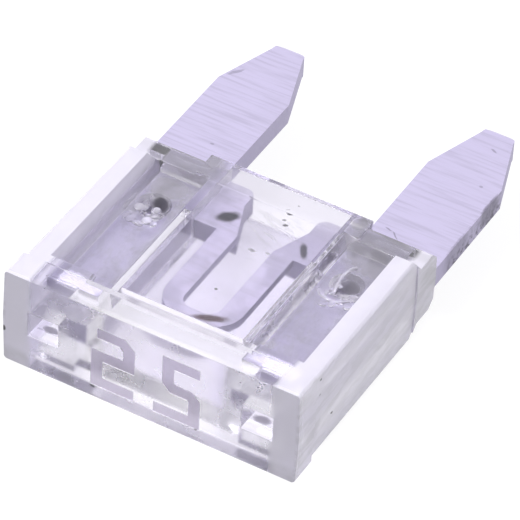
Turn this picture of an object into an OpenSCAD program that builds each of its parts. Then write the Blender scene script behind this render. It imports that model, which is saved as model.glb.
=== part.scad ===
// Mini automotive blade fuse: a clear one-piece housing staked over a
// one-piece stamped element of two blades joined by a thin U-shaped link.
// Millimetres. X is the width, +Y points to the blade tips, Z is the
// thickness; the fuse lies on a broad face at Z = 0.

/* [Overall] */
// Length from the head end face to the blade tips
overall_length = 16.3; // [14:0.1:19]
// Width of the housing at the head and at the foot
housing_width = 10.9; // [10:0.1:12]
// Length of the housing from the head end face to the foot
housing_length = 9.05; // [8.4:0.05:11]
// Thickness of the housing at the head
head_thickness = 3.75; // [3.4:0.05:4.6]

/* [Housing outside] */
// Length of the thicker band at the head
band_length = 1.1; // [0.8:0.05:1.4]
// How far the rails lie below the head band on each broad face
rail_drop = 0.15; // [0.05:0.05:0.25]
// How far the side walls stand inside the head band
side_inset = 0.05; // [0.02:0.01:0.15]
// Inward lean of the side walls from mid-thickness to each broad face
side_draft = 0.05; // [0.03:0.01:0.12]
// Chamfer along the long edges of the housing
edge_chamfer = 0.08; // [0.05:0.01:0.15]
// Thickness of the flange at the foot
flange_thickness = 2.4; // [2.1:0.05:2.7]
// Length of the flange at the foot
flange_length = 1.1; // [0.9:0.05:1.5]
// Length of the slope from the rails down to the flange
slope_length = 0.4; // [0.3:0.05:0.8]
// Chamfer along the end edges of the flange
foot_chamfer = 0.3; // [0.1:0.05:0.4]
// Width of each side rail
rail_width = 0.75; // [0.6:0.05:0.85]

/* [Bays and plateau] */
// Distance of the wide ends of the raised centre from each side of the housing
plateau_inset = 2.4; // [2.25:0.05:2.6]
// Distance of the raised centre from each side of the housing along the bays
waist_inset = 3; // [2.85:0.05:3.1]
// Outward lean of the sides of the raised centre along the bays
waist_draft = 0.3; // [0.1:0.02:0.36]
// How far the raised centre lies below the head band
plateau_drop = 0.48; // [0.35:0.01:0.6]
// How far the raised centre stands above the flange at the foot
foot_step = 0.12; // [0.05:0.01:0.2]
// Floor thickness left over the element in each bay
bay_floor = 0.42; // [0.3:0.02:0.5]
// Length of the closed end of each bay beyond the head band
bay_front = 0.35; // [0.2:0.05:0.6]
// Length of the closed end of each bay at the foot
bay_rear = 0.75; // [0.5:0.05:1.1]
// Lean of the outer and rear walls of each bay over its depth
bay_draft = 0.36; // [0.1:0.02:0.4]
// Lean of the front wall of each bay over its depth
bay_front_draft = 0.55; // [0.2:0.05:0.8]

/* [Heat stakes] */
// Distance of each stake from the inner edge of its leg
stake_inset = 0.95; // [0.85:0.05:1]
// Distance of the stakes from the head end face
stake_position = 6.3; // [4.5:0.1:7]
// Diameter of each stake through the element
stake_diameter = 0.9; // [0.6:0.05:1.1]
// Diameter of the crater at the bay floor
crater_diameter = 1.2; // [1:0.05:1.25]
// Diameter of the bottom of the crater
crater_bottom = 0.5; // [0.3:0.05:0.8]
// Plastic left under the crater above the middle of the stake
crater_web = 0.2; // [0.1:0.05:0.35]

/* [Inside] */
// Clearance between the element and its slot
slot_clearance = 0.03; // [0.01:0.01:0.06]
// Depth of the slot end from the head end face
slot_end = 1.2; // [1.1:0.05:2]
// Thickness of the wall over the link chamber
window_wall = 0.42; // [0.35:0.01:0.5]
// Distance of each side of the link chamber from the nearer leg
chamber_inset = 0.42; // [0.1:0.02:0.6]
// Distance of the link chamber from the head end face
chamber_end = 2; // [1.5:0.1:2.6]

/* [Test holes] */
// Distance of each test hole from the inner edge of its leg
test_inset = 0.7; // [0.4:0.05:0.85]
// Width of each test hole
test_width = 1.15; // [0.8:0.05:1.2]
// Height of each test hole
test_height = 1; // [0.7:0.05:1.2]

/* [Element] */
// Thickness of the blades
blade_thickness = 0.8; // [0.6:0.05:0.95]
// Width of each blade
blade_width = 2.76; // [2.6:0.02:2.8]
// How far the outer edge of each blade stands inside the housing width
blade_inset = 0.02; // [0:0.01:0.1]
// Length of the tapered blade tip
tip_length = 2.7; // [2:0.1:3.2]
// Inset of the tip corner on each side of a blade
tip_inset = 0.78; // [0.6:0.02:0.95]
// Corner radius at the blade tip
tip_radius = 0.36; // [0.1:0.02:0.4]
// Bevel along the faces of the blade tip
tip_bevel = 0.12; // [0.05:0.01:0.2]
// Length of that bevel along the blade
tip_bevel_run = 0.18; // [0.08:0.02:0.3]
// Width of each leg inside the housing
leg_width = 1.9; // [1.86:0.02:2]
// Length of the bridge that joins each link arm to its leg
bridge_length = 2.4; // [2:0.05:2.8]
// Distance of the bridges from the foot face
bridge_inset = 0.1; // [0.04:0.01:0.3]
// How far the inner end of each bridge steps back from the link arm
bridge_step = 0.55; // [0.3:0.05:0.7]
// Length of the taper over which it steps back
bridge_taper = 1.45; // [0.8:0.05:1.6]
// Corner radius of each bridge at the foot
bridge_radius = 0.35; // [0.1:0.05:0.5]

/* [Link] */
// Thickness of the link
link_thickness = 0.3; // [0.24:0.02:0.4]
// Outer width of the U
link_width = 2.86; // [2.6:0.02:3]
// Width of the U arms
arm_width = 0.76; // [0.6:0.02:0.84]
// Width of the bottom of the U
bar_width = 0.52; // [0.4:0.02:0.6]
// Distance of the bottom of the U from the head end face
link_position = 2.4; // [2.35:0.05:3.2]
// Outer corner radius of the U
link_radius = 1.08; // [0.9:0.02:1.2]

/* [Hidden] */
round_steps = 48;
cut = 0.05;
half = housing_width / 2;
rail_half = half - side_inset;
middle = head_thickness / 2;
head_face = -overall_length / 2;
foot_face = head_face + housing_length;
tip_face = overall_length / 2;
band_end = head_face + band_length;
flange_start = foot_face - flange_length;
slope_start = flange_start - slope_length;
rail_half_thickness = middle - rail_drop;
flange_half_thickness = flange_thickness / 2;
plateau_half_thickness = middle - plateau_drop;
foot_plateau_half = min(plateau_half_thickness, flange_half_thickness + foot_step);
blade_half = blade_thickness / 2;
slot_half = blade_half + slot_clearance;
bay_floor_half = slot_half + bay_floor;
plateau_half = half - plateau_inset;
waist_half = half - waist_inset;
bay_outer = rail_half - rail_width;
bay_start = band_end + bay_front;
bay_stop = foot_face - bay_rear;
blade_outer = half - blade_inset;
blade_inner = blade_outer - blade_width;
leg_outer = blade_inner + leg_width;
slot_inner = blade_inner - slot_clearance;
slot_outer = leg_outer + slot_clearance;
slot_start = head_face + slot_end;
leg_start = slot_start + slot_clearance;
chamber_half_thickness = plateau_half_thickness - window_wall;
chamber_half_width = blade_inner - chamber_inset;
chamber_start = head_face + chamber_end;
stake_x = blade_inner + stake_inset;
stake_y = head_face + stake_position;
stake_hole = stake_diameter + 2 * slot_clearance;
crater_depth_half = slot_half - crater_web;
bridge_start = foot_face - bridge_length;
bridge_stop = foot_face - bridge_inset;
link_y = head_face + link_position;
arm_outer = link_width / 2;
arm_inner = arm_outer - arm_width;
link_bottom = middle + blade_half - link_thickness;
shoulder_y = tip_face - tip_length;
tip_half = blade_width / 2 - tip_inset;

// Which piece to show

// Outline of the housing seen from its side, as [y, z] from the middle plane
module side_outline(head_half, run_half, foot_half) {
    polygon([
        [head_face, -head_half],
        [band_end, -head_half],
        [band_end, -run_half],
        [slope_start, -run_half],
        [flange_start, -foot_half],
        [foot_face - foot_chamfer, -foot_half],
        [foot_face, -foot_half + foot_chamfer],
        [foot_face, foot_half - foot_chamfer],
        [foot_face - foot_chamfer, foot_half],
        [flange_start, foot_half],
        [slope_start, run_half],
        [band_end, run_half],
        [band_end, head_half],
        [head_face, head_half]
    ]);
}

// Extrusion of a [y, z] outline across the width, centred on X
module across(width) {
    translate([-width / 2, 0, middle])
        rotate([90, 0, 90])
            linear_extrude(height = width)
                children();
}

// Extrusion of an [x, z] outline along the length
module along(start, stop) {
    translate([0, stop, middle])
        rotate([90, 0, 0])
            linear_extrude(height = stop - start)
                children();
}

// Cross-section with side walls that lean in towards both broad faces
module drafted_section(half_width, half_thickness) {
    top_half = half_width - side_draft;
    polygon([
        [-half_width, 0],
        [-top_half, -half_thickness + edge_chamfer],
        [-top_half + edge_chamfer, -half_thickness],
        [top_half - edge_chamfer, -half_thickness],
        [top_half, -half_thickness + edge_chamfer],
        [half_width, 0],
        [top_half, half_thickness - edge_chamfer],
        [top_half - edge_chamfer, half_thickness],
        [-top_half + edge_chamfer, half_thickness],
        [-top_half, half_thickness - edge_chamfer]
    ]);
}

// Shell of the housing: head band, rails and foot flange
module housing_outside() {
    intersection() {
        across(housing_width + 2 * cut)
            side_outline(middle, rail_half_thickness, flange_half_thickness);
        union() {
            along(head_face, band_end)
                drafted_section(half, middle);
            along(band_end - cut, slope_start + slope_length / 2 + cut)
                drafted_section(rail_half, rail_half_thickness);
            along(slope_start + slope_length / 2, foot_face)
                drafted_section(half, rail_half_thickness);
        }
    }
}

// Solid centre that carries the window over the link on both faces
module centre_block() {
    across(2 * plateau_half)
        polygon([
            [head_face + cut, -plateau_half_thickness],
            [slope_start, -plateau_half_thickness],
            [flange_start, -foot_plateau_half],
            [foot_face, -foot_plateau_half],
            [foot_face, foot_plateau_half],
            [flange_start, foot_plateau_half],
            [slope_start, plateau_half_thickness],
            [head_face + cut, plateau_half_thickness]
        ]);
}

// Space above the raised centre between the two rows of bays
module plateau_cut() {
    translate([-plateau_half, band_end, middle + plateau_half_thickness])
        cube([2 * plateau_half, housing_length, head_thickness]);
}

// Bay over one leg: an open recess with leaning walls that also narrows
// the raised centre to its waist
module bay() {
    top = middle + cut;
    rise = (top - bay_floor_half) / (rail_half_thickness - bay_floor_half);
    outer_low = bay_outer - bay_draft;
    intersection() {
        along(bay_start, bay_stop)
            polygon([
                [waist_half + waist_draft, bay_floor_half],
                [outer_low, bay_floor_half],
                [outer_low + bay_draft * rise, top],
                [waist_half, top],
                [waist_half, plateau_half_thickness]
            ]);
        across(housing_width)
            polygon([
                [bay_start + bay_front_draft * rise, bay_floor_half],
                [bay_stop - bay_draft * rise, bay_floor_half],
                [bay_stop, top],
                [bay_start, top]
            ]);
    }
}

// Crater left by the hot tool that formed a stake
module crater() {
    depth = bay_floor_half - crater_depth_half;
    slope = (crater_diameter - crater_bottom) / 2 / depth;
    translate([stake_x, stake_y, middle + crater_depth_half])
        cylinder(
            h = depth + cut,
            d1 = crater_bottom,
            d2 = crater_diameter + 2 * slope * cut,
            $fn = round_steps
        );
}

// Everything cut from one broad face
module face_cuts() {
    plateau_cut();
    for (side = [0, 1]) {
        mirror([side, 0, 0]) {
            bay();
            crater();
        }
    }
}

// Slot that takes one leg, open at the foot, and the opening of the bridge
// between it and the link chamber
module leg_slot() {
    difference() {
        translate([slot_inner, slot_start, middle - slot_half])
            cube([slot_outer - slot_inner, foot_face - slot_start + cut, 2 * slot_half]);
        translate([stake_x, stake_y, middle - slot_half - cut])
            cylinder(h = 2 * (slot_half + cut), d = stake_diameter, $fn = round_steps);
    }
    translate([chamber_half_width - cut, bridge_start - slot_clearance, middle - slot_half])
        cube([
            slot_inner - chamber_half_width + 2 * cut,
            bridge_length + slot_clearance + cut,
            2 * slot_half
        ]);
}

// Room around the link, open at the foot
module chamber() {
    translate([-chamber_half_width, chamber_start, middle - chamber_half_thickness])
        cube([2 * chamber_half_width, foot_face - chamber_start + cut, 2 * chamber_half_thickness]);
}

// Test hole from the head end face into a leg slot
module test_hole() {
    translate([blade_inner + test_inset, head_face - cut, middle - test_height / 2])
        cube([test_width, slot_end + 2 * cut, test_height]);
}

module housing() {
    color([0.86, 0.84, 0.94, 0.35])
        difference() {
            union() {
                housing_outside();
                centre_block();
            }
            face_cuts();
            translate([0, 0, head_thickness])
                mirror([0, 0, 1])
                    face_cuts();
            chamber();
            for (side = [0, 1]) {
                mirror([side, 0, 0]) {
                    leg_slot();
                    test_hole();
                }
            }
        }
}

// Plan of one blade and its leg, with the tapered tip
module blade_plan() {
    centre = (blade_inner + blade_outer) / 2;
    translate([blade_inner, leg_start])
        square([leg_width, foot_face - leg_start + cut]);
    polygon([
        [blade_inner, foot_face],
        [blade_outer, foot_face],
        [blade_outer, shoulder_y],
        [centre + tip_half, tip_face - tip_radius],
        [centre + tip_half - tip_radius, tip_face],
        [centre - tip_half + tip_radius, tip_face],
        [centre - tip_half, tip_face - tip_radius],
        [blade_inner, shoulder_y]
    ]);
    for (side = [-1, 1]) {
        translate([centre + side * (tip_half - tip_radius), tip_face - tip_radius])
            circle(r = tip_radius, $fn = round_steps);
    }
}

// One blade with its stake hole and bevelled tip
module blade() {
    difference() {
        translate([0, 0, middle - blade_half])
            linear_extrude(height = blade_thickness)
                blade_plan();
        translate([stake_x, stake_y, middle - blade_thickness])
            cylinder(h = 2 * blade_thickness, d = stake_hole, $fn = round_steps);
        for (face = [0, 1]) {
            translate([0, 0, middle])
                mirror([0, 0, face])
                    translate([0, 0, blade_half])
                        rotate([90, 0, 90])
                            linear_extrude(height = housing_width)
                                polygon([
                                    [tip_face - tip_bevel_run, 0],
                                    [tip_face, -tip_bevel],
                                    [tip_face + cut, -tip_bevel],
                                    [tip_face + cut, cut],
                                    [tip_face - tip_bevel_run, cut]
                                ]);
        }
    }
}

// Bridge from a leg to the end of a link arm
module bridge() {
    end_x = arm_inner + bridge_step;
    translate([0, 0, middle - blade_half]) {
        linear_extrude(height = blade_thickness) {
            polygon([
                [end_x + bridge_radius, bridge_stop],
                [end_x, bridge_stop - bridge_radius],
                [end_x, bridge_start + bridge_taper],
                [arm_inner, bridge_start],
                [blade_inner + cut, bridge_start],
                [blade_inner + cut, bridge_stop]
            ]);
            translate([end_x + bridge_radius, bridge_stop - bridge_radius])
                circle(r = bridge_radius, $fn = round_steps);
        }
    }
}

// Half of a rounded U, as [x, y] with its bottom at the given Y
module half_u(outer, bottom, radius) {
    translate([0, bottom])
        square([outer - radius, radius + cut]);
    translate([outer - radius, bottom + radius])
        circle(r = radius, $fn = round_steps);
    translate([0, bottom + radius])
        square([outer, bridge_start - bottom - radius + cut]);
}

// Right half of the U-shaped link
module link_half() {
    inner_radius = link_radius - (arm_width + bar_width) / 2;
    translate([0, 0, link_bottom])
        linear_extrude(height = link_thickness)
            intersection() {
                difference() {
                    half_u(arm_outer, link_y, link_radius);
                    half_u(arm_inner, link_y + bar_width, inner_radius);
                }
                translate([0, link_y - cut])
                    square([arm_outer + cut, bridge_start - link_y + 2 * cut]);
            }
}

module fuse_element() {
    color([0.72, 0.7, 0.77])
        union() {
            for (side = [0, 1]) {
                mirror([side, 0, 0]) {
                    blade();
                    bridge();
                    link_half();
                }
            }
        }
}

housing();
fuse_element();
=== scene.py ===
"""Looks of a clear mini blade fuse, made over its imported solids.

All lengths are metres in the frame of the solids: X across the width,
+Y towards the blade tips, Z through the thickness. The solids give the
form; this file adds rounded edges, the moulded rating number, the melted
plastic on the stakes, the materials, the light and the camera.
"""
import math

import bmesh
import bpy
from bpy.props import FloatProperty, FloatVectorProperty, IntProperty, PointerProperty
from mathutils import Matrix, Vector


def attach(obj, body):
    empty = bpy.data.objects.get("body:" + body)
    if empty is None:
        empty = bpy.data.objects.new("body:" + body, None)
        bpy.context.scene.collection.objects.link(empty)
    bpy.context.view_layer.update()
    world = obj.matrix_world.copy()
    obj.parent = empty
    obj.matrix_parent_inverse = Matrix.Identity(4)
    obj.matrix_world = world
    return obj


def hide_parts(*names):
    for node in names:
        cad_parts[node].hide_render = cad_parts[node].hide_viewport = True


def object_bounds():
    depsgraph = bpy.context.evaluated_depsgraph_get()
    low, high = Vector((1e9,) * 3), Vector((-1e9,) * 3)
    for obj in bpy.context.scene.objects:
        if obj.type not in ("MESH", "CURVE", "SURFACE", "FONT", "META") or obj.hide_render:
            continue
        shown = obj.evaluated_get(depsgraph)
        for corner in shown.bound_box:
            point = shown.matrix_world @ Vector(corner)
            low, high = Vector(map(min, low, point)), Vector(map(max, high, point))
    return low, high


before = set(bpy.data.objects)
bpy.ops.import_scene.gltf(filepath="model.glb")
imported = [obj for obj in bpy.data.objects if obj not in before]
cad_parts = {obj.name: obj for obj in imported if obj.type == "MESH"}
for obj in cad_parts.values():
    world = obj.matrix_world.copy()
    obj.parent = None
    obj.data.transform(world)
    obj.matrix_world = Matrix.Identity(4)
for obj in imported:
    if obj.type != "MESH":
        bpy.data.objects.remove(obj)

bl_info = {
    "name": "Clear Mini Blade Fuse",
    "version": (1, 0, 0),
    "blender": (4, 5, 0),
    "location": "3D View > Sidebar > Blade Fuse",
    "description": "Makes the moulded housing, the zinc element and a studio stage",
    "category": "Object",
}

MM = 0.001
SOLID_LOW, SOLID_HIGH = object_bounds()
HEAD_FACE = SOLID_LOW[1]
MID_THICKNESS = (SOLID_LOW[2] + SOLID_HIGH[2]) / 2

MERGE_DISTANCE = 1e-7
FLAT_ANGLE = math.radians(1.0)
BEVEL_ANGLE = math.radians(30.0)
SMOOTH_ANGLE = math.radians(35.0)
EDGE_STEPS = 2
RELIEF = 0.01 * MM
CUTTER_OVERHANG = 0.05 * MM
NUMERAL_HALF_WIDTH = 2.4 * MM
NUMERAL_FLOOR_SLACK = 0.005 * MM
FLOOR_GAP = 0.01 * MM
BOUNCES = 24
LAMP_SIZE = 0.12
LAMP_PLACE = (-0.10, -0.05, 0.22)

# Centre lines of the strokes of the rating number on the head end face,
# as (x, z) in millimetres
TWO = [
    (-1.92, 2.79), (-0.98, 2.79), (-0.74, 2.55), (-0.74, 1.85),
    (-1.92, 1.85), (-1.92, 0.72), (-0.54, 0.72),
]
FIVE = [
    (1.85, 2.82), (0.70, 2.82), (0.70, 1.96), (0.88, 1.78),
    (1.50, 1.78), (1.68, 1.60), (1.68, 0.70), (0.20, 0.70),
]

# Bent ridge and collar of melted plastic, in millimetres from the middle of
# the lumps: start, two handles and end of the ridge
RIDGE = ((-0.20, 0.06, 0.0), (-0.22, 0.50, 0.0), (-0.52, 1.15, 0.0), (-0.14, 1.60, 0.0))
COLLAR_RADIUS = 0.68
COLLAR_CENTRE = (-0.12, 0.45, 0.0)
COLLAR_START = math.radians(212.0)
COLLAR_SWEEP = math.radians(122.0)

# Zones of the looks: where each starts and where it is full, in millimetres.
# Sides are distances from the middle of the width.
FOOT_START = (-0.5, 0.1)
FOOT_INSIDE = (2.4, 2.7)
FOOT_OUTSIDE = (5.1, 4.7)
RAIL_INSIDE = (4.35, 4.6)
RAIL_STEP = 0.5
OUTER_WALL = (5.3, 5.4)
BAY_INSIDE = (2.55, 2.8)
BAY_OUTSIDE = (4.45, 4.25)
BAY_FRONT = (-6.9, -6.6)
BAY_REAR = (-3.2, -1.4)
BAY_WALL_INSIDE = (3.05, 2.8)
BAY_WALL_OUTSIDE = (4.05, 4.25)
BAND_START = (-6.45, -6.7)
BAND_WIDTH = (4.0, 3.0)
BAND_TOP = (2.2, 2.6)
HEAD_ENDS = (2.3, 3.0)
HEAD_MIDDLE = (2.6, 2.0)
HEAD_LOW = (0.75, 0.35)
HOUSED = (1.05, 0.7)
LINK_WIDTH = (2.6, 1.9)
WORN_EDGE = (5.34, 5.42)
WORN_LOW = (2.1, 1.6)
WORN_START = (1.2, 2.4)

# The same, measured from the head end face and from the bay floors
HEAD_SKIN = (0.25, 0.03)
MELT_START = (0.01, 0.10)
MELT_STOP = (0.3, 0.2)

# Tint of the plain middle of the head end face: painted light, lighter and whiter than the tint of
# the plastic
LIT_MIDDLE_TINT = (1.0, 0.985, 1.0, 1.0)

# Blots of the finish and of painted shade: centre and half sizes in millimetres,
# turn about Z in degrees, and strength
MELT_FIELDS = [
    ((3.6, -1.9, 2.8), (0.9, 1.5, 0.6), 0, 1.0),
    ((-3.6, -1.9, 2.8), (0.9, 1.5, 0.6), 0, 1.0),
]
SCRATCH_FIELD = [
    ((0.45, -1.35, 3.27), (1.1, 1.5, 0.15), -20, 1.0),
]
# Painted shade: dark blots in the two stake pits and in the two test holes of the head end, where
# shade falls
STAKE_AND_HOLE_SHADE = [
    ((-3.56, -1.42, 2.45), (0.44, 0.34, 0.28), 10, 0.92),
    ((3.58, -1.46, 2.35), (0.46, 0.28, 0.22), 10, 0.6),
    ((-4.0, -7.52, 1.38), (0.36, 0.17, 0.12), 0, 0.75),
    ((3.77, -7.45, 1.38), (0.38, 0.20, 0.12), 0, 0.75),
]
# Dark patches around the stakes and along the foot: partly dirt, partly painted shade beside the
# stake pits, at the corners of the middle block and along the foot's edge over the blades
SMUDGES_AND_SHADE = [
    ((-4.0, -2.0, 2.8), (0.35, 0.9, 0.4), -12, 0.6),
    ((-2.85, -1.5, 2.8), (0.22, 1.1, 0.4), 0, 0.6),
    ((-3.6, -0.9, 2.75), (0.8, 0.6, 0.3), 0, 0.9),
    ((-3.5, -6.2, 2.75), (0.6, 0.25, 0.3), 20, 0.5),
    ((3.7, -0.5, 2.8), (1.1, 0.8, 0.4), 0, 0.9),
    ((3.9, 0.72, 3.0), (1.3, 0.16, 0.3), 0, 0.9),
    ((-3.6, 0.62, 3.0), (0.8, 0.12, 0.3), 0, 0.7),
    ((2.75, 0.55, 3.15), (0.32, 0.4, 0.2), 0, 0.8),
    ((-2.75, 0.6, 3.15), (0.32, 0.35, 0.2), 0, 0.6),
    ((2.9, -5.9, 2.75), (0.25, 0.6, 0.4), 0, 0.5),
]
# Dark specks in the plastic, and three lines of painted shade along the foot's edge over the blades
SPECKS_AND_EDGE_SHADE = [
    ((0.43, -0.14, 3.27), (0.11, 0.07, 0.1), 20, 1.0),
    ((0.63, -0.36, 3.27), (0.13, 0.08, 0.1), 30, 1.0),
    ((0.66, 0.18, 3.27), (0.10, 0.06, 0.1), 10, 0.9),
    ((0.76, -0.92, 3.27), (0.10, 0.07, 0.1), 0, 0.9),
    ((0.62, -0.74, 3.27), (0.07, 0.07, 0.1), 0, 0.8),
    ((0.47, -2.55, 3.27), (0.15, 0.07, 0.1), 10, 0.7),
    ((0.98, -2.40, 3.27), (0.09, 0.07, 0.1), 0, 0.6),
    ((0.44, -4.79, 3.27), (0.07, 0.07, 0.1), 0, 0.9),
    # Painted shade along the foot's edge, where the blades leave the housing
    ((3.75, 0.60, 3.0), (1.2, 0.15, 0.3), -10, 0.55),
    ((2.75, 0.72, 3.1), (0.3, 0.14, 0.3), 10, 0.6),
    ((-3.75, 0.64, 3.0), (0.75, 0.11, 0.3), 5, 0.5),
    ((-2.06, -8.15, 0.46), (0.12, 0.1, 0.07), 0, 1.0),
    ((-5.40, -8.15, 1.3), (0.08, 0.1, 0.12), 0, 1.0),
    ((1.8, -8.15, 0.48), (0.06, 0.1, 0.06), 0, 0.8),
    ((5.43, -6.71, 3.32), (0.1, 0.12, 0.07), 0, 1.0),
    ((5.43, -6.71, 2.71), (0.1, 0.07, 0.05), 0, 0.9),
    ((5.43, -5.84, 1.23), (0.1, 0.10, 0.06), 0, 1.0),
]
# Painted shade: dark blots beside the link, where the thin link steps down from the thick bridges
STEP_SHADOWS = [
    ((-1.40, -0.80, 2.2), (0.47, 0.28, 0.5), 41, 1.0),
    ((1.52, -0.95, 2.2), (0.42, 0.15, 0.5), -58, 0.9),
]
# Dark red-brown mark on the bottom of the link: partly a stain colour, partly painted shade on its
# shaded front side
STAIN_AND_SHADE_MARKS = [
    ((0.55, -5.34, 2.1), (0.72, 0.19, 0.5), 25, 1.0),
]
NICKS = [
    ((3.20, 1.76, 2.3), (0.16, 0.03, 0.2), -20, 0.7),
    ((3.52, 1.58, 2.3), (0.26, 0.035, 0.2), -42, 0.7),
    ((4.27, 7.12, 2.3), (0.15, 0.045, 0.2), -20, 0.6),
    ((4.76, 5.26, 2.3), (0.09, 0.06, 0.2), 0, 0.5),
    ((-3.83, 2.30, 2.3), (0.09, 0.05, 0.2), 0, 0.5),
    ((-5.05, 6.0, 2.3), (0.35, 0.08, 0.3), 55, 0.5),
    ((5.43, 4.6, 2.0), (0.10, 0.7, 0.6), 0, 0.9),
    ((5.43, 2.3, 1.9), (0.10, 0.9, 0.7), 0, 0.5),
]


class HousingSettings(bpy.types.PropertyGroup):
    edge_round: FloatProperty(
        name="Edge rounding",
        description="Radius of the moulded edges",
        default=0.04 * MM, min=0.0, max=0.1 * MM, unit="LENGTH", precision=6,
    )
    numeral_stroke: FloatProperty(
        name="Numeral stroke",
        description="Width of the strokes of the moulded rating number",
        default=0.43 * MM, min=0.2 * MM, max=0.5 * MM, unit="LENGTH", precision=6,
    )
    numeral_depth: FloatProperty(
        name="Numeral depth",
        description="Depth of the rating number in the head end face",
        default=0.03 * MM, min=0.02 * MM, max=0.2 * MM, unit="LENGTH", precision=6,
    )
    stake_x: FloatProperty(
        name="Stake X",
        description="Distance of the stakes from the middle of the housing",
        default=3.62 * MM, min=0.0, unit="LENGTH", precision=6,
    )
    stake_y: FloatProperty(
        name="Stake rim Y",
        description="Place of the melted rims along the housing",
        default=-2.55 * MM, unit="LENGTH", precision=6,
    )
    stake_level: FloatProperty(
        name="Stake rim level",
        description="Height of the bay floors from the middle of the thickness",
        default=0.85 * MM, min=0.0, unit="LENGTH", precision=6,
    )
    rim_width: FloatProperty(
        name="Rim half width",
        description="Half width of the melted rim across the housing",
        default=0.46 * MM, min=0.1 * MM, unit="LENGTH", precision=6,
    )
    rim_length: FloatProperty(
        name="Rim half length",
        description="Half length of the melted rim along the housing",
        default=0.42 * MM, min=0.1 * MM, unit="LENGTH", precision=6,
    )
    rim_lump: FloatProperty(
        name="Lump radius",
        description="Radius of the lumps of the melted rim",
        default=0.17 * MM, min=0.02 * MM, unit="LENGTH", precision=6,
    )
    ridge: FloatProperty(
        name="Ridge radius",
        description="Radius of the bent ridge of melted plastic over each stake",
        default=0.075 * MM, min=0.02 * MM, unit="LENGTH", precision=6,
    )
    rim_count: IntProperty(
        name="Lumps per rim",
        description="Number of lumps around each stake",
        default=10, min=3, max=30,
    )
    rim_seed: IntProperty(
        name="Lump seed",
        description="Seed of the irregular lumps",
        default=4, min=0,
    )
    tint: FloatVectorProperty(
        name="Plastic tint",
        description="Colour that light takes on its way through the plastic",
        default=(0.93, 0.905, 0.998), min=0.0, max=1.0, size=3, subtype="COLOR",
    )
    cloudy: FloatVectorProperty(
        name="Rail colour",
        description="Colour of the cloudier plastic of the side rails",
        default=(0.885, 0.855, 0.975), min=0.0, max=1.0, size=3, subtype="COLOR",
    )
    numeral_tint: FloatVectorProperty(
        name="Numeral tint",
        description="Colour of the frosted floor of the rating number",
        default=(0.64, 0.575, 0.74), min=0.0, max=1.0, size=3, subtype="COLOR",
    )
    # Dark colour both for dirt specks and for painted shade in the stake pits, test holes and along
    # the foot's edge
    dirt_and_shade_colour: FloatVectorProperty(
        name="Dirt colour",
        description="Colour of the specks, smudges and burnt stakes",
        default=(0.06, 0.055, 0.075), min=0.0, max=1.0, size=3, subtype="COLOR",
    )
    refraction: FloatProperty(
        name="Refractive index",
        description="Refractive index of clear polycarbonate",
        default=1.58, min=1.3, max=1.8,
    )
    clear_rough: FloatProperty(
        name="Polished roughness",
        description="Roughness of the polished faces",
        default=0.08, min=0.0, max=1.0,
    )
    numeral_rough: FloatProperty(
        name="Numeral roughness",
        description="Roughness of the frosted floor of the rating number",
        default=0.45, min=0.0, max=1.0,
    )


class ElementSettings(bpy.types.PropertyGroup):
    edge_round: FloatProperty(
        name="Edge rounding",
        description="Radius of the stamped edges",
        default=0.05 * MM, min=0.0, max=0.1 * MM, unit="LENGTH", precision=6,
    )
    metal: FloatVectorProperty(
        name="Zinc colour",
        description="Colour of the bare zinc faces",
        default=(0.665, 0.615, 0.83), min=0.0, max=1.0, size=3, subtype="COLOR",
    )
    # Painted shade: darker colour for the zinc inside the housing
    inside: FloatVectorProperty(
        name="Inner zinc colour",
        description="Colour of the duller zinc inside the housing",
        default=(0.54, 0.52, 0.63), min=0.0, max=1.0, size=3, subtype="COLOR",
    )
    link: FloatVectorProperty(
        name="Link colour",
        description="Colour of the zinc of the link and its bridges",
        default=(0.72, 0.69, 0.80), min=0.0, max=1.0, size=3, subtype="COLOR",
    )
    # Also painted shade: this colour darkens all side faces of the zinc
    sheared_and_shaded: FloatVectorProperty(
        name="Sheared edge colour",
        description="Colour of the sheared edges and of the tarnish",
        default=(0.40, 0.37, 0.50), min=0.0, max=1.0, size=3, subtype="COLOR",
    )
    # Painted shade: colour of the dark blots beside the link
    step_shadow_colour: FloatVectorProperty(
        name="Soot colour",
        description="Colour of the black spots beside the link",
        default=(0.03, 0.028, 0.045), min=0.0, max=1.0, size=3, subtype="COLOR",
    )
    # Partly a stain, partly painted shade on the front side of the link's bottom
    stain_and_shade_colour: FloatVectorProperty(
        name="Stain colour",
        description="Colour of the dark mark on the bottom of the link",
        default=(0.05, 0.004, 0.014), min=0.0, max=1.0, size=3, subtype="COLOR",
    )


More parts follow.
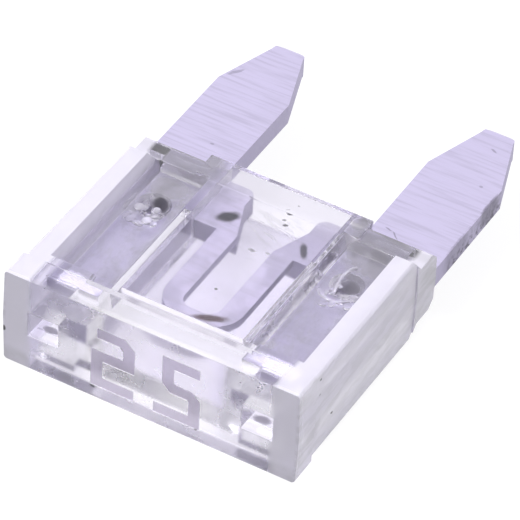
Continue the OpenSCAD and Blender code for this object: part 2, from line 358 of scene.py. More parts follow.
class StageSettings(bpy.types.PropertyGroup):
    floor_size: FloatProperty(
        name="Floor size",
        description="Side of the square floor",
        default=1.2, min=0.1, max=4.0, unit="LENGTH",
    )
    floor_colour: FloatVectorProperty(
        name="Floor colour",
        description="Colour of the floor",
        default=(0.22, 0.22, 0.222), min=0.0, max=1.0, size=3, subtype="COLOR",
    )
    floor_glow: FloatProperty(
        name="Floor glow",
        description="Brightness added to the floor where it is seen",
        default=0.85, min=0.0, max=1.0,
    )
    backdrop: FloatVectorProperty(
        name="Backdrop colour",
        description="Colour of the surroundings behind the fuse",
        default=(1.0, 1.0, 1.0), min=0.0, max=1.0, size=3, subtype="COLOR",
    )
    overhead: FloatVectorProperty(
        name="Overhead colour",
        description="Colour of the surroundings overhead",
        default=(0.92, 0.92, 0.93), min=0.0, max=1.0, size=3, subtype="COLOR",
    )
    near_side: FloatVectorProperty(
        name="Near side colour",
        description="Colour of the surroundings on the viewer's side",
        default=(0.60, 0.60, 0.61), min=0.0, max=1.0, size=3, subtype="COLOR",
    )
    lamp_power: FloatProperty(
        name="Lamp power",
        description="Power of the soft key lamp",
        default=0.3, min=0.0, max=5.0, unit="POWER",
    )
    azimuth: FloatProperty(
        name="Camera azimuth",
        description="Turn of the camera about the vertical, 0 looks along +Y",
        default=math.radians(27.697), subtype="ANGLE",
    )
    elevation: FloatProperty(
        name="Camera elevation",
        description="Height angle of the camera above the floor",
        default=math.radians(41.811), subtype="ANGLE",
    )
    roll: FloatProperty(
        name="Camera roll",
        description="Roll of the camera about its line of sight",
        default=math.radians(3.409), subtype="ANGLE",
    )
    distance: FloatProperty(
        name="Camera distance",
        description="Distance from the camera to the point it looks at",
        default=150.08 * MM, min=0.05, unit="LENGTH",
    )
    lens: FloatProperty(
        name="Focal length",
        description="Focal length in millimetres on a 36 mm sensor",
        default=319.2, min=20.0,
    )
    target: FloatVectorProperty(
        name="Camera target",
        description="Point that the camera looks at",
        default=(0.163 * MM, -1.376 * MM, 1.8 * MM), size=3, subtype="TRANSLATION",
    )


def merged_copy(source, name):
    """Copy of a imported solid's mesh with its loose triangles joined into flat faces."""
    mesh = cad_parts[source].data.copy()
    mesh.name = name
    mesh.materials.clear()
    made = bmesh.new()
    made.from_mesh(mesh)
    bmesh.ops.remove_doubles(made, verts=made.verts, dist=MERGE_DISTANCE)
    bmesh.ops.dissolve_limit(
        made, angle_limit=FLAT_ANGLE, verts=made.verts, edges=made.edges,
    )
    made.to_mesh(mesh)
    made.free()
    piece = bpy.data.objects.new(name, mesh)
    bpy.context.scene.collection.objects.link(piece)
    return piece


def apply_modifiers(piece):
    """Turns the evaluated piece into its plain mesh and takes the modifiers off."""
    depsgraph = bpy.context.evaluated_depsgraph_get()
    finished = bpy.data.meshes.new_from_object(piece.evaluated_get(depsgraph))
    old = piece.data
    piece.modifiers.clear()
    piece.data = finished
    finished.name = piece.name
    bpy.data.meshes.remove(old)
    return piece


def combine(piece, other, operation):
    """Adds another solid to a piece or cuts it from the piece, and removes it."""
    step = piece.modifiers.new("combine", "BOOLEAN")
    step.operation = operation
    step.solver = "EXACT"
    step.use_self = operation == "UNION"
    step.object = other
    apply_modifiers(piece)
    bpy.data.objects.remove(other)
    return piece


def keep_largest_shell(piece):
    """Takes out the lumps that touch nothing else of the piece."""
    made = bmesh.new()
    made.from_mesh(piece.data)
    left = set(made.faces)
    shells = []
    while left:
        reached = [left.pop()]
        for face in reached:
            for edge in face.edges:
                for other in edge.link_faces:
                    if other in left:
                        left.remove(other)
                        reached.append(other)
        shells.append(reached)
    shells.sort(key=len)
    loose = [face for shell in shells[:-1] for face in shell]
    bmesh.ops.delete(made, geom=loose, context="FACES")
    made.to_mesh(piece.data)
    made.free()
    return piece


def round_edges(piece, radius):
    """Rounds the sharp edges of a piece."""
    bevel = piece.modifiers.new("rounding", "BEVEL")
    bevel.width = radius
    bevel.segments = EDGE_STEPS
    bevel.limit_method = "ANGLE"
    bevel.angle_limit = BEVEL_ANGLE
    bevel.use_clamp_overlap = True
    return apply_modifiers(piece)


def shade_by_angle(piece):
    """Smooth shading that keeps flat faces flat and corners sharp."""
    piece.data.shade_smooth()
    made = bmesh.new()
    made.from_mesh(piece.data)
    for edge in made.edges:
        edge.smooth = len(edge.link_faces) == 2 and edge.calc_face_angle(0.0) < SMOOTH_ANGLE
    made.to_mesh(piece.data)
    made.free()
    weights = piece.modifiers.new("flat_faces", "WEIGHTED_NORMAL")
    weights.mode = "FACE_AREA"
    weights.weight = 100
    weights.keep_sharp = True
    return apply_modifiers(piece)


class Nodes:
    """Builder of one node tree: every input takes a value or an output socket."""

    def __init__(self, tree):
        self.tree = tree
        self.count = 0

    def feed(self, socket, source):
        if isinstance(source, bpy.types.NodeSocket):
            self.tree.links.new(source, socket)
        else:
            socket.default_value = source

    def add(self, kind, inputs=None, **values):
        made = self.tree.nodes.new(kind)
        made.location = (self.count // 5 * 190 - 3000, self.count % 5 * -170)
        self.count += 1
        for key, value in values.items():
            setattr(made, key, value)
        for key, source in (inputs or {}).items():
            self.feed(made.inputs[key], source)
        return made

    def math(self, operation, *sources, clamp=False):
        made = self.add("ShaderNodeMath", operation=operation, use_clamp=clamp)
        for socket, source in zip(made.inputs, sources):
            self.feed(socket, source)
        return made.outputs[0]

    def vector(self, operation, *sources):
        made = self.add("ShaderNodeVectorMath", operation=operation)
        for socket, source in zip(made.inputs, sources):
            self.feed(socket, source)
        return made

    def product(self, *factors):
        result = factors[0]
        for factor in factors[1:]:
            result = self.math("MULTIPLY", result, factor)
        return result

    def largest(self, *values):
        result = values[0]
        for value in values[1:]:
            result = self.math("MAXIMUM", result, value)
        return result

    def ramp(self, source, low, high, start=0.0, stop=1.0):
        """Eases from start at low to stop at high."""
        made = self.add("ShaderNodeMapRange", interpolation_type="SMOOTHSTEP")
        for key, value in (
            ("Value", source), ("From Min", low), ("From Max", high),
            ("To Min", start), ("To Max", stop),
        ):
            self.feed(made.inputs[key], value)
        return made.outputs["Result"]

    def zone(self, source, edges, start=0.0, stop=1.0):
        """Ramp between two places in millimetres."""
        return self.ramp(source, edges[0] * MM, edges[1] * MM, start, stop)

    def mix(self, factor, first, second):
        """Blend of two colours."""
        made = self.add("ShaderNodeMix", data_type="RGBA")
        for key, value in (("Factor", factor), ("A", first), ("B", second)):
            self.feed(made.inputs[key], value)
        return made.outputs["Result"]

    def noise(self, place, scale, detail=2.0, roughness=0.5):
        return self.add("ShaderNodeTexNoise", {
            "Vector": place, "Scale": scale, "Detail": detail, "Roughness": roughness,
        })

    def stretched(self, place, lengths, turn=0.0):
        """Place for a pattern of the given length in millimetres along each turned axis."""
        made = self.add("ShaderNodeMapping", {
            "Vector": place, "Scale": [length * MM for length in lengths],
            "Rotation": (0.0, 0.0, math.radians(turn)),
        }, vector_type="TEXTURE")
        return made.outputs["Vector"]

    def blots(self, place, marks):
        """Mask of soft-edged ellipsoids."""
        masks = []
        for centre, half, turn, strength in marks:
            local = self.add("ShaderNodeMapping", {
                "Vector": place,
                "Location": [c * MM for c in centre],
                "Rotation": (0.0, 0.0, math.radians(turn)),
                "Scale": [h * MM for h in half],
            }, vector_type="TEXTURE")
            reach = self.vector("LENGTH", local.outputs["Vector"])
            masks.append(self.ramp(reach.outputs["Value"], 1.15, 0.55, 0.0, strength))
        return self.largest(*masks)


def opaque(colour):
    """Colour with full alpha."""
    return (*colour, 1.0)


def scaled(colour, factor):
    """Colour made brighter or darker, with full alpha."""
    return (*[c * factor for c in colour], 1.0)


def new_material(name):
    """Empty node material with its builder and its output node."""
    material = bpy.data.materials.new(name)
    material.use_nodes = True
    material.node_tree.nodes.clear()
    nodes = Nodes(material.node_tree)
    return material, nodes, nodes.add("ShaderNodeOutputMaterial")


def wobble(nodes, place, scale, reach):
    """Place moved a little by noise, for irregular outlines."""
    noise = nodes.noise(place, scale, 2.0)
    centred = nodes.vector("SUBTRACT", noise.outputs["Color"], (0.5, 0.5, 0.5))
    moved = nodes.vector("SCALE", centred.outputs["Vector"])
    moved.inputs["Scale"].default_value = reach
    return nodes.vector("ADD", place, moved.outputs["Vector"]).outputs["Vector"]


def finish_clear(nodes, out, shader, tint):
    """Ends a plastic's tree: the shader, with lamp light let through its tint."""
    clear = nodes.add("ShaderNodeBsdfTransparent", {"Color": opaque([c ** 0.5 for c in tint])})
    path = nodes.add("ShaderNodeLightPath")
    blend = nodes.add("ShaderNodeMixShader", {
        0: path.outputs["Is Shadow Ray"], 1: shader.outputs["BSDF"], 2: clear.outputs["BSDF"],
    })
    nodes.feed(out.inputs["Surface"], blend.outputs["Shader"])


def bay_shade_and_grime(nodes, rough_place, side, along, foot, cloud):
    """Mask of painted shade along the bay walls and at the rear of the bays, with random dullness
    in the bays, and of a darker band of the foot over the blades.
    """
    bay = nodes.product(
        nodes.zone(side, BAY_INSIDE), nodes.zone(side, BAY_OUTSIDE), nodes.zone(along, BAY_FRONT),
    )
    rear = nodes.zone(along, BAY_REAR, 0.15, 0.8)
    walls = nodes.largest(nodes.zone(side, BAY_WALL_INSIDE), nodes.zone(side, BAY_WALL_OUTSIDE))
    # Painted shade: darker at the rear of each bay and along its walls
    recess_shade = nodes.product(
        nodes.largest(rear, nodes.product(walls, 0.7)), nodes.ramp(cloud, 0.38, 0.6, 0.2, 0.9),
    )
    fine = nodes.noise(nodes.stretched(rough_place, (0.5, 1.1, 1.0), 8.0), 1.0, 4.0, 0.65)
    fine = nodes.ramp(fine.outputs["Fac"], 0.46, 0.62, 0.0, 0.5)
    shade_and_grime = nodes.product(bay, nodes.largest(recess_shade, fine))
    flange = nodes.product(
        foot, nodes.zone(side, FOOT_INSIDE, 0.3, 0.95), nodes.zone(side, FOOT_OUTSIDE),
    )
    return nodes.largest(shade_and_grime, flange)


def melted_zone(nodes, place, level, height):
    """Mask of the cloudy melted plastic that stands over the bay floors."""
    lift = nodes.math("ABSOLUTE", nodes.math("SUBTRACT", height, MID_THICKNESS))
    low, high = ([level + edge * MM for edge in pair] for pair in (MELT_START, MELT_STOP))
    return nodes.product(
        nodes.ramp(lift, *low), nodes.ramp(lift, *high), nodes.blots(place, MELT_FIELDS),
    )


def clear_plastic(settings):
    """Clear moulded plastic with cloudy rails, painted shade in the bays and on the head end, a
    painted lighter middle of the head end, a darker foot, and dark specks and smudges.
    """
    material, nodes, out = new_material("clear_plastic")
    tint = settings.tint
    place = nodes.add("ShaderNodeTexCoord").outputs["Object"]
    rough_place = wobble(nodes, place, 3500.0, 0.16 * MM)
    axes = nodes.add("ShaderNodeSeparateXYZ", {0: place})
    along, height = axes.outputs["Y"], axes.outputs["Z"]
    side = nodes.math("ABSOLUTE", axes.outputs["X"])
    cloud = nodes.noise(place, 900.0, 4.0, 0.6).outputs["Fac"]
    patches = nodes.ramp(nodes.noise(place, 420.0, 3.0, 0.65).outputs["Fac"], 0.42, 0.62)

    foot = nodes.zone(along, FOOT_START)
    rail = nodes.zone(nodes.math("MULTIPLY_ADD", foot, -RAIL_STEP * MM, side), RAIL_INSIDE)
    head = nodes.ramp(along, *(HEAD_FACE + edge * MM for edge in HEAD_SKIN))
    ends = nodes.product(head, nodes.zone(side, HEAD_ENDS, 0.1, 1.0))
    middle = nodes.product(head, nodes.zone(side, HEAD_MIDDLE))
    # Painted shade: the head end darker towards the bottom
    low = nodes.product(head, nodes.zone(height, HEAD_LOW), nodes.ramp(cloud, 0.3, 0.6, 0.4, 0.9))
    band = nodes.product(
        nodes.zone(along, BAND_START), nodes.zone(side, BAND_WIDTH),
        nodes.math("SUBTRACT", 1.0, head), nodes.zone(height, BAND_TOP),
    )
    drawn = nodes.noise(nodes.stretched(rough_place, (5.0, 1.6, 0.35)), 1.0, 3.0).outputs["Fac"]
    wall = nodes.product(nodes.zone(side, OUTER_WALL), nodes.ramp(drawn, 0.42, 0.58))
    shade_and_grime = bay_shade_and_grime(nodes, rough_place, side, along, foot, cloud)
    melt = melted_zone(nodes, place, settings.stake_level, height)

    scratch = nodes.noise(
        nodes.stretched(rough_place, (1.4, 0.24, 5.0), -20.0), 1.0, 3.0,
    ).outputs["Fac"]
    scratches = nodes.product(nodes.ramp(scratch, 0.56, 0.66), nodes.blots(place, SCRATCH_FIELD))

    # Smudges: partly dirt, partly painted shade around the stake pits and along the foot's edge
    smudge_and_shade = nodes.product(
        nodes.blots(rough_place, SMUDGES_AND_SHADE), nodes.ramp(cloud, 0.25, 0.6, 0.5, 1.0), 0.6,
    )
    # Dark marks: specks and smudges, with painted shade in the stake pits, the test holes, beside
    # the pits and along the foot's edge
    dark = nodes.largest(
        nodes.blots(rough_place, SPECKS_AND_EDGE_SHADE), nodes.blots(rough_place, STAKE_AND_HOLE_SHADE), smudge_and_shade,
    )

    body = nodes.mix(nodes.ramp(cloud, 0.3, 0.7), scaled(tint, 0.96), opaque(tint))
    # Painted shade: the two ends of the head end face darker than its middle
    shaded_ends = nodes.product(ends, nodes.math("MULTIPLY_ADD", patches, 0.6, 0.3))
    for mask, colour in (
        # Painted shade on the ends of the head end
        (shaded_ends, scaled(tint, 0.66)),
        (nodes.product(scratches, 0.35), scaled(tint, 0.6)),
        # Painted shade in the bays, with random dullness, and a darker foot over the blades
        (shade_and_grime, scaled(tint, 0.58)),
        (nodes.product(rail, 0.9), opaque(settings.cloudy)),
        (nodes.product(wall, 0.4), scaled(tint, 0.66)),
        (band, scaled(tint, 0.82)),
        # Painted light: the middle of the head end face lighter and whiter
        (middle, LIT_MIDDLE_TINT),
        # Painted shade towards the bottom of the head end
        (low, scaled(tint, 0.72)),
        (melt, opaque(settings.cloudy)),
        (dark, opaque(settings.dirt_and_shade_colour)),
    ):
        body = nodes.mix(mask, body, colour)

    milk = nodes.product(rail, 0.7)
    for mask, share in (
        (ends, 0.16), (shade_and_grime, 0.22), (band, 0.12), (melt, 0.32), (patches, 0.03), (dark, 0.9),
    ):
        milk = nodes.math("MULTIPLY_ADD", mask, share, milk)
    clearness = nodes.math("SUBTRACT", 1.0, milk, clamp=True)

    rough = nodes.ramp(cloud, 0.2, 0.8, settings.clear_rough * 0.6, settings.clear_rough * 1.5)
    for mask, share in ((rail, 0.10), (head, 0.18), (scratches, 0.2)):
        rough = nodes.math("MULTIPLY_ADD", mask, share, rough)

    ripple = nodes.noise(place, 1400.0, 2.0).outputs["Fac"]
    relief = nodes.math("MULTIPLY_ADD", scratches, 0.6, ripple)
    bump = nodes.add("ShaderNodeBump", {"Strength": 0.14, "Distance": RELIEF, "Height": relief})
    shader = nodes.add("ShaderNodeBsdfPrincipled", {
        "IOR": settings.refraction, "Base Color": body, "Roughness": rough,
        "Transmission Weight": clearness, "Normal": bump.outputs["Normal"],
    })
    finish_clear(nodes, out, shader, tint)
    return material


def frosted_plastic(settings):
    """Frosted floor of the rating number."""
    material, nodes, out = new_material("frosted_numeral")
    tint = settings.numeral_tint
    place = nodes.add("ShaderNodeTexCoord").outputs["Object"]
    grain = nodes.noise(place, 6000.0, 3.0).outputs["Fac"]
    colour = nodes.mix(nodes.ramp(grain, 0.3, 0.7), scaled(tint, 0.93), opaque(tint))
    rough = nodes.ramp(grain, 0.2, 0.8, settings.numeral_rough * 0.8, settings.numeral_rough * 1.2)
    shader = nodes.add("ShaderNodeBsdfPrincipled", {
        "IOR": settings.refraction, "Base Color": colour, "Roughness": rough,
        "Transmission Weight": 0.55,
    })
    finish_clear(nodes, out, shader, tint)
    return material


def zinc(settings):
    """Bare stamped zinc with fine streaks across the blades, with painted shade that darkens the
    zinc inside the housing and the side faces.
    """
    material, nodes, out = new_material("stamped_zinc")
    where = nodes.add("ShaderNodeTexCoord")
    place = where.outputs["Object"]
    rough_place = wobble(nodes, place, 4500.0, 0.12 * MM)
    axes = nodes.add("ShaderNodeSeparateXYZ", {0: place})
    across, along, height = (axes.outputs[axis] for axis in "XYZ")
    facing = nodes.add("ShaderNodeSeparateXYZ", {0: where.outputs["Normal"]})
    # Side faces, found by their normal: partly matt sheared edges, partly painted shade
    upright = nodes.ramp(nodes.math("ABSOLUTE", facing.outputs["Z"]), 0.75, 0.45)
    sheared_and_shaded = settings.sheared_and_shaded

    streak = nodes.noise(nodes.stretched(place, (2.4, 0.13, 0.33)), 1.0, 4.0, 0.55).outputs["Fac"]
    line = nodes.noise(nodes.stretched(place, (3.8, 0.19, 0.67), 3.0), 1.0, 2.0).outputs["Fac"]
    mottle = nodes.noise(place, 700.0, 3.0).outputs["Fac"]

    middle = nodes.zone(nodes.math("ABSOLUTE", across), LINK_WIDTH)
    # Painted shade: the zinc inside the housing takes the darker inner colour, the link its own
    # colour
    cased = nodes.mix(middle, opaque(settings.inside), opaque(settings.link))
    cased = nodes.mix(nodes.ramp(mottle, 0.55, 0.4, 0.0, 0.5), cased, scaled(settings.inside, 0.8))
    base = nodes.mix(nodes.zone(along, HOUSED), opaque(settings.metal), cased)
    dull = nodes.mix(0.12, base, (0.0, 0.0, 0.0, 1.0))
    tone = nodes.product(
        nodes.ramp(streak, 0.30, 0.55), nodes.ramp(mottle, 0.2, 0.5, 0.75, 1.0),
    )
    worn = nodes.product(
        nodes.ramp(nodes.noise(place, 5200.0, 3.0, 0.7).outputs["Fac"], 0.46, 0.60),
        nodes.zone(across, WORN_EDGE), nodes.zone(height, WORN_LOW, 0.25, 1.0),
        nodes.zone(along, WORN_START), 0.8,
    )
    colour = nodes.mix(tone, dull, base)
    for mask, mark in (
        (nodes.ramp(line, 0.62, 0.76, 0.0, 0.22), opaque(sheared_and_shaded)),
        # Side faces darker: partly sheared edge, partly painted shade
        (nodes.product(upright, 0.75), opaque(sheared_and_shaded)),
        (nodes.product(nodes.blots(rough_place, NICKS), 0.8), scaled(sheared_and_shaded, 0.5)),
        (worn, scaled(sheared_and_shaded, 0.25)),
        # Painted shade beside the link's steps
        (nodes.blots(rough_place, STEP_SHADOWS), opaque(settings.step_shadow_colour)),
        # Stain colour and painted shade on the link's bottom
        (nodes.blots(rough_place, STAIN_AND_SHADE_MARKS), opaque(settings.stain_and_shade_colour)),
    ):
        colour = nodes.mix(mask, colour, mark)

    rough = nodes.math("MULTIPLY_ADD", upright, 0.1, nodes.ramp(streak, 0.2, 0.8, 0.38, 0.54))
    bump = nodes.add("ShaderNodeBump", {"Strength": 0.3, "Distance": RELIEF, "Height": streak})
    shader = nodes.add("ShaderNodeBsdfPrincipled", {
        "Metallic": 0.9, "Base Color": colour, "Roughness": rough, "Normal": bump.outputs["Normal"],
    })
    nodes.feed(out.inputs["Surface"], shader.outputs["BSDF"])
    return material


def studio_floor(settings):
    """Pale floor that looks white to the eye and through glass, and keeps its shadow."""
    material, nodes, out = new_material("pale_floor")
    place = nodes.add("ShaderNodeTexCoord").outputs["Object"]
    grain = nodes.ramp(nodes.noise(place, 300.0, 2.0).outputs["Fac"], 0.3, 0.7)
    colour = nodes.mix(grain, scaled(settings.floor_colour, 0.99), opaque(settings.floor_colour))
    shader = nodes.add("ShaderNodeBsdfPrincipled", {
        "Base Color": colour, "Roughness": 0.9, "Specular IOR Level": 0.0,
    })
    path = nodes.add("ShaderNodeLightPath")
    seen = nodes.largest(*(
        path.outputs[ray] for ray in ("Is Camera Ray", "Is Transmission Ray", "Is Glossy Ray")
    ))
    glow = nodes.add("ShaderNodeEmission", {
        "Color": (1.0, 1.0, 1.0, 1.0), "Strength": nodes.product(seen, settings.floor_glow),
    })
    add = nodes.add("ShaderNodeAddShader", {0: shader.outputs["BSDF"], 1: glow.outputs["Emission"]})
    nodes.feed(out.inputs["Surface"], add.outputs["Shader"])
    return material


def studio_world(settings):
    """Soft surroundings: a pale backdrop behind, dimmer overhead and towards the viewer."""
    world = bpy.data.worlds.new("studio")
    world.use_nodes = True
    background = world.node_tree.nodes["Background"]
    background.inputs["Strength"].default_value = 1.0
    nodes = Nodes(world.node_tree)
    way = nodes.add("ShaderNodeTexCoord").outputs["Generated"]
    axes = nodes.add("ShaderNodeSeparateXYZ", {0: way})
    rise = nodes.ramp(axes.outputs["Z"], 0.25, 0.95)
    depth = nodes.ramp(axes.outputs["Y"], -0.7, 0.5)
    upper = nodes.mix(rise, opaque(settings.backdrop), opaque(settings.overhead))
    nodes.feed(background.inputs["Color"], nodes.mix(depth, opaque(settings.near_side), upper))
    return world


def stroke_outline(centre, width):
    """Closed outline of a stroke of even width along a centre line."""
    points = [Vector(p) for p in centre]
    sides = [[], []]
    for i, point in enumerate(points):
        before = (point - points[i - 1]).normalized() if i > 0 else None
        after = (points[i + 1] - point).normalized() if i + 1 < len(points) else None
        first = before or after
        last = after or before
        normal = Vector((-first[1] - last[1], first[0] + last[0])).normalized()
        reach = width / 2 / max(normal.dot(Vector((-first[1], first[0]))), 0.4)
        sides[0].append(point + normal * reach)
        sides[1].append(point - normal * reach)
    return sides[0] + sides[1][::-1]


def numeral_cutter(settings):
    """Solid that sinks the rating number into the head end face."""
    made = bmesh.new()
    for centre in (TWO, FIVE):
        outline = stroke_outline([(x * MM, z * MM) for x, z in centre], settings.numeral_stroke)
        base = [made.verts.new((x, HEAD_FACE - CUTTER_OVERHANG, z)) for x, z in outline]
        face = made.faces.new(base)
        top = bmesh.ops.extrude_face_region(made, geom=[face])
        moved = [v for v in top["geom"] if isinstance(v, bmesh.types.BMVert)]
        reach = CUTTER_OVERHANG + settings.numeral_depth
        bmesh.ops.translate(made, verts=moved, vec=(0.0, reach, 0.0))
    bmesh.ops.recalc_face_normals(made, faces=made.faces)
    mesh = bpy.data.meshes.new("numeral_cutter")
    made.to_mesh(mesh)
    made.free()
    cutter = bpy.data.objects.new("numeral_cutter", mesh)
    bpy.context.scene.collection.objects.link(cutter)
    return cutter


def rim_tree():
    """Geometry nodes for the melted plastic: lumps, a ridge and a collar.

    A ring of flattened lumps lies at all four stakes, top and underside, and a
    bent ridge and a collar at the two of the right-hand leg.
    """
    tree = bpy.data.node_groups.new("stake_rims", "GeometryNodeTree")
    for name, kind in (
        ("Stake X", "Float"), ("Rim Y", "Float"), ("Middle", "Float"), ("Level", "Float"),
        ("Half Width", "Float"), ("Half Length", "Float"), ("Lump Radius", "Float"),
        ("Ridge Radius", "Float"), ("Count", "Int"), ("Seed", "Int"), ("Material", "Material"),
    ):
        tree.interface.new_socket(name=name, in_out="INPUT", socket_type="NodeSocket" + kind)
    tree.interface.new_socket(name="Geometry", in_out="OUTPUT", socket_type="NodeSocketGeometry")
    nodes = Nodes(tree)
    given = nodes.add("NodeGroupInput").outputs
    corners = nodes.add("GeometryNodeMeshGrid", {
        "Size X": nodes.math("MULTIPLY", given["Stake X"], 2.0),
        "Size Y": nodes.math("MULTIPLY", given["Level"], 2.0),
        "Vertices X": 2, "Vertices Y": 2,
    })
    centre = nodes.add("ShaderNodeCombineXYZ", {"Y": given["Rim Y"], "Z": given["Middle"]})
    stakes = nodes.add("GeometryNodeTransform", {
        "Geometry": corners.outputs["Mesh"], "Translation": centre.outputs["Vector"],
        "Rotation": (math.radians(90.0), 0.0, 0.0),
    })
    ring = nodes.add("GeometryNodeMeshCircle", {"Vertices": given["Count"], "Radius": 1.0})
    stretch = nodes.add("ShaderNodeCombineXYZ", {
        "X": given["Half Width"], "Y": given["Half Length"], "Z": 1.0,
    })
    oval = nodes.add("GeometryNodeTransform", {
        "Geometry": ring.outputs["Mesh"], "Scale": stretch.outputs["Vector"],
    })
    rings = nodes.add("GeometryNodeInstanceOnPoints", {
        "Points": stakes.outputs["Geometry"], "Instance": oval.outputs["Geometry"],
    })
    loose = nodes.add("GeometryNodeRealizeInstances", {"Geometry": rings.outputs["Instances"]})
    shift = nodes.add("FunctionNodeRandomValue", {
        "Min": (-0.9, -0.9, -0.15), "Max": (0.9, 0.9, 0.15), "Seed": given["Seed"],
    }, data_type="FLOAT_VECTOR")
    reach = nodes.vector("SCALE", shift.outputs["Value"])
    nodes.feed(reach.inputs["Scale"], given["Lump Radius"])
    places = nodes.add("GeometryNodeSetPosition", {
        "Geometry": loose.outputs["Geometry"], "Offset": reach.outputs["Vector"],
    })
    ball = nodes.add("GeometryNodeMeshIcoSphere", {
        "Radius": given["Lump Radius"], "Subdivisions": 3,
    })
    size = nodes.add("FunctionNodeRandomValue", {
        "Min": (0.4, 0.5, 0.2), "Max": (1.3, 1.2, 0.45),
        "Seed": nodes.math("ADD", given["Seed"], 1.0),
    }, data_type="FLOAT_VECTOR")
    lumps = nodes.add("GeometryNodeInstanceOnPoints", {
        "Points": places.outputs["Geometry"], "Instance": ball.outputs["Mesh"],
        "Scale": size.outputs["Value"],
    })
    bend = nodes.add("GeometryNodeCurvePrimitiveBezierSegment", {
        "Resolution": 10, **{
            name: [c * MM for c in point]
            for name, point in zip(("Start", "Start Handle", "End Handle", "End"), RIDGE)
        },
    })
    collar = nodes.add("GeometryNodeCurveArc", {
        "Resolution": 14, "Radius": COLLAR_RADIUS * MM,
        "Start Angle": COLLAR_START, "Sweep Angle": COLLAR_SWEEP,
    }, mode="RADIUS")
    set_out = nodes.add("GeometryNodeTransform", {
        "Geometry": collar.outputs["Curve"], "Translation": [c * MM for c in COLLAR_CENTRE],
    })
    lines = nodes.add("GeometryNodeJoinGeometry")
    tree.links.new(bend.outputs["Curve"], lines.inputs["Geometry"])
    tree.links.new(set_out.outputs["Geometry"], lines.inputs["Geometry"])
    section = nodes.add("GeometryNodeCurvePrimitiveCircle", {
        "Resolution": 10, "Radius": given["Ridge Radius"],
    })
    ridge = nodes.add("GeometryNodeCurveToMesh", {
        "Curve": lines.outputs["Geometry"], "Profile Curve": section.outputs["Curve"],
        "Fill Caps": True,
    })
    at = nodes.add("ShaderNodeSeparateXYZ", {0: nodes.add("GeometryNodeInputPosition").outputs[0]})
    right = nodes.add(
        "FunctionNodeCompare", {"A": at.outputs["X"], "B": 0.0},
        data_type="FLOAT", operation="GREATER_THAN",
    )
    ridges = nodes.add("GeometryNodeInstanceOnPoints", {
        "Points": stakes.outputs["Geometry"], "Instance": ridge.outputs["Mesh"],
        "Selection": right.outputs["Result"],
    })
    both = nodes.add("GeometryNodeJoinGeometry")
    tree.links.new(lumps.outputs["Instances"], both.inputs["Geometry"])
    tree.links.new(ridges.outputs["Instances"], both.inputs["Geometry"])
    solid = nodes.add("GeometryNodeRealizeInstances", {"Geometry": both.outputs["Geometry"]})
    dressed = nodes.add("GeometryNodeSetMaterial", {
        "Geometry": solid.outputs["Geometry"], "Material": given["Material"],
    })
    nodes.add("NodeGroupOutput", {"Geometry": dressed.outputs["Geometry"]})
    return tree


def stake_rims(settings, material):
    """Melted plastic on the stakes, as one plain mesh."""
    tree = rim_tree()
    rims = bpy.data.objects.new("stake_rims", bpy.data.meshes.new("stake_rims"))
    bpy.context.scene.collection.objects.link(rims)
    lay = rims.modifiers.new("rims", "NODES")
    lay.node_group = tree
    values = {
        "Stake X": settings.stake_x, "Rim Y": settings.stake_y, "Middle": MID_THICKNESS,
        "Level": settings.stake_level, "Half Width": settings.rim_width,
        "Half Length": settings.rim_length, "Lump Radius": settings.rim_lump,
        "Ridge Radius": settings.ridge,
        "Count": settings.rim_count, "Seed": settings.rim_seed, "Material": material,
    }
    for item in tree.interface.items_tree:
        if item.name in values:
            lay[item.identifier] = values[item.name]
    return apply_modifiers(rims)


class FUSE_OT_housing(bpy.types.Operator):
    """Makes the clear moulded housing with its rating number and melted stakes"""

    bl_idname = "fuse.housing"
    bl_label = "Make Housing"

    def execute(self, context):
        settings = context.scene.fuse_housing
        plastic = clear_plastic(settings)
        piece = merged_copy("housing", "housing_moulding")
        round_edges(piece, settings.edge_round)
        combine(piece, numeral_cutter(settings), "DIFFERENCE")
        combine(piece, stake_rims(settings, plastic), "UNION")
        keep_largest_shell(piece)
        shade_by_angle(piece)
        piece.data.materials.clear()
        piece.data.materials.append(plastic)
        piece.data.materials.append(frosted_plastic(settings))
        floor_y = HEAD_FACE + settings.numeral_depth
        for polygon in piece.data.polygons:
            x, y, _ = polygon.center
            sunk = abs(y - floor_y) < NUMERAL_FLOOR_SLACK and abs(polygon.normal[1]) > 0.9
            polygon.material_index = int(sunk and abs(x) < NUMERAL_HALF_WIDTH)
        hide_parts("housing")
        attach(piece, "root")
        return {"FINISHED"}


class FUSE_OT_element(bpy.types.Operator):
    """Makes the stamped zinc element"""

    bl_idname = "fuse.element"
    bl_label = "Make Element"

    def execute(self, context):
        settings = context.scene.fuse_element
        piece = merged_copy("fuse_element", "element_stamping")
        round_edges(piece, settings.edge_round)
        shade_by_angle(piece)
        piece.data.materials.append(zinc(settings))
        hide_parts("fuse_element")
        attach(piece, "root")
        return {"FINISHED"}


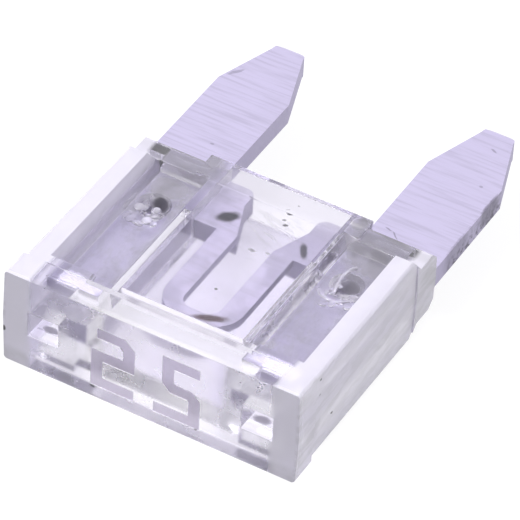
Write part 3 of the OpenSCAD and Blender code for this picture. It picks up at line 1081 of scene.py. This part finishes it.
class FUSE_OT_stage(bpy.types.Operator):
    """Makes the pale floor, the soft lamp and the camera"""

    bl_idname = "fuse.stage"
    bl_label = "Make Stage"

    def execute(self, context):
        settings = context.scene.fuse_stage
        scene = context.scene
        scene.view_settings.view_transform = "Standard"
        scene.cycles.max_bounces = BOUNCES
        scene.cycles.transmission_bounces = BOUNCES
        scene.cycles.glossy_bounces = BOUNCES
        reach = settings.floor_size / 2
        level = SOLID_LOW[2] - FLOOR_GAP
        mesh = bpy.data.meshes.new("floor")
        corners = ((-reach, -reach), (reach, -reach), (reach, reach), (-reach, reach))
        mesh.from_pydata([(x, y, level) for x, y in corners], [], [(0, 1, 2, 3)])
        mesh.materials.append(studio_floor(settings))
        floor = bpy.data.objects.new("floor", mesh)
        scene.collection.objects.link(floor)
        scene.world = studio_world(settings)

        lamp = bpy.data.lights.new("key_lamp", "AREA")
        lamp.size = LAMP_SIZE
        lamp.energy = settings.lamp_power
        holder = bpy.data.objects.new("key_lamp", lamp)
        place = Vector(LAMP_PLACE)
        aim = (-place).to_track_quat("-Z", "Y").to_matrix().to_4x4()
        holder.matrix_world = Matrix.Translation(place) @ aim
        scene.collection.objects.link(holder)

        lens = bpy.data.cameras.new("camera")
        lens.sensor_width = 36.0
        lens.lens = settings.lens
        lens.clip_start = 0.001
        lens.clip_end = 10.0
        camera = bpy.data.objects.new("camera", lens)
        scene.collection.objects.link(camera)
        turn, rise, roll = settings.azimuth, settings.elevation, settings.roll
        right = Vector((math.cos(turn), math.sin(turn), 0.0))
        back = Vector((
            math.sin(turn) * math.cos(rise), -math.cos(turn) * math.cos(rise), math.sin(rise),
        ))
        up = back.cross(right)
        axis_x = right * math.cos(roll) + up * math.sin(roll)
        axis_y = up * math.cos(roll) - right * math.sin(roll)
        place = Vector(settings.target) + back * settings.distance
        columns = (axis_x, axis_y, back, place)
        rows = [[column[i] for column in columns] for i in range(3)]
        camera.matrix_world = Matrix((*rows, (0.0, 0.0, 0.0, 1.0)))
        scene.camera = camera
        return {"FINISHED"}


class FUSE_PT_panel(bpy.types.Panel):
    """Sidebar panel of the fuse"""

    bl_idname = "FUSE_PT_panel"
    bl_label = "Blade Fuse"
    bl_space_type = "VIEW_3D"
    bl_region_type = "UI"
    bl_category = "Blade Fuse"

    def draw(self, context):
        scene = context.scene
        for title, settings, operator in (
            ("Housing", scene.fuse_housing, "fuse.housing"),
            ("Element", scene.fuse_element, "fuse.element"),
            ("Stage", scene.fuse_stage, "fuse.stage"),
        ):
            box = self.layout.box()
            box.label(text=title)
            for key in settings.bl_rna.properties.keys():
                if key not in {"rna_type", "name"}:
                    box.prop(settings, key)
            box.operator(operator)


CLASSES = (
    HousingSettings, ElementSettings, StageSettings,
    FUSE_OT_housing, FUSE_OT_element, FUSE_OT_stage, FUSE_PT_panel,
)


def register():
    for cls in CLASSES:
        bpy.utils.register_class(cls)
    bpy.types.Scene.fuse_housing = PointerProperty(type=HousingSettings)
    bpy.types.Scene.fuse_element = PointerProperty(type=ElementSettings)
    bpy.types.Scene.fuse_stage = PointerProperty(type=StageSettings)


def unregister():
    del bpy.types.Scene.fuse_housing
    del bpy.types.Scene.fuse_element
    del bpy.types.Scene.fuse_stage
    for cls in reversed(CLASSES):
        bpy.utils.unregister_class(cls)


def main():
    """Makes the whole scene."""
    register()
    bpy.ops.fuse.housing()
    bpy.ops.fuse.element()
    bpy.ops.fuse.stage()


if __name__ == "__main__":
    main()
